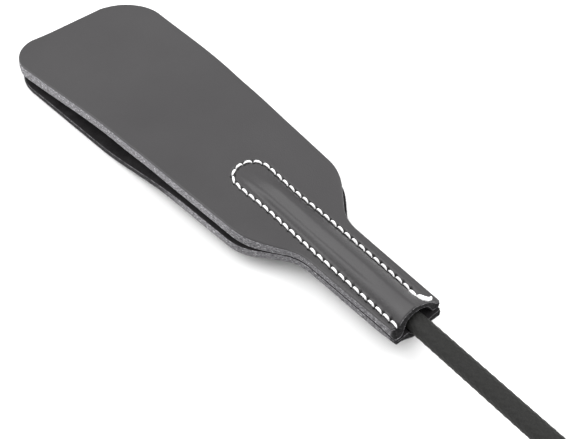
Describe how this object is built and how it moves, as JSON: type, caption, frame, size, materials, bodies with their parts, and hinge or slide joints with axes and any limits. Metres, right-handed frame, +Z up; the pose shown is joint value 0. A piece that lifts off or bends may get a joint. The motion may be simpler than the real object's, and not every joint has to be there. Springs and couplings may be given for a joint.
{
  "type": "riding crop",
  "caption": "Riding crop with a wide two-leaf leather keeper, white U-shaped stitching, a braided shaft, a leather grip and a wrist loop.",
  "frame": {"origin": "middle of the whole crop's box, at the surface that it lies on", "axes": "+X from the keeper's tip towards the wrist loop, +Y across the keeper, +Z up"},
  "size_m": [0.829, 0.0682, 0.02],
  "materials": {
    "keeper_leather": "matte dyed leather with raw, fibrous cut edges",
    "white_thread": "thick waxed white thread",
    "rod_glassfibre": "smooth glass-fibre rod",
    "shaft_braid": "fine black braid",
    "black_plastic": "moulded",
    "black_thread": "wound thread",
    "grip_leather": "grained black leather",
    "grip_core_wood": "turned, unfinished",
    "satin_metal": "satin nickel",
    "strap_leather": "smooth black leather, dyed edges"
  },
  "bodies": {
    "crop": {"upper_leaf_neck": "keeper_leather", "lower_leaf_neck": "keeper_leather", "keeper_top_thread": "white_thread", "keeper_under_thread": "white_thread", "shaft_rod": "rod_glassfibre", "shaft_sleeve": "shaft_braid", "rod_tip_cap": "black_plastic", "sleeve_binding": "white_thread", "grip_whipping": "black_thread", "grip_front_ring": "grip_leather", "grip_core": "grip_core_wood", "grip_cover": "grip_leather", "grip_seam_thread": "white_thread", "grip_rear_ring": "satin_metal", "butt_cap": "satin_metal", "cap_brads": "satin_metal", "strap_pin": "satin_metal"},
    "upper_flap": {"upper_leaf_flap": "keeper_leather"},
    "lower_flap": {"lower_leaf_flap": "keeper_leather"},
    "wrist_loop": {"wrist_strap": "strap_leather", "strap_rivet": "satin_metal"}
  },
  "joints": [
    {"name": "upper_flap_flex", "type": "hinge", "parent": "crop", "child": "upper_flap", "pos_m": [-0.31854, 0, 0.0107], "axis": [0, 1, 0], "range_deg": [0, 40], "stiffness_Nm_per_rad": 0.4},
    {"name": "lower_flap_flex", "type": "hinge", "parent": "crop", "child": "lower_flap", "pos_m": [-0.31854, 0, 0.007], "axis": [0, 1, 0], "range_deg": [-40, 0], "stiffness_Nm_per_rad": 0.4},
    {"name": "wrist_loop_swing", "type": "hinge", "parent": "crop", "child": "wrist_loop", "pos_m": [0.23846, 0, 0.01], "axis": [0, -1, 0], "range_deg": [-90, 90]}
  ]
}
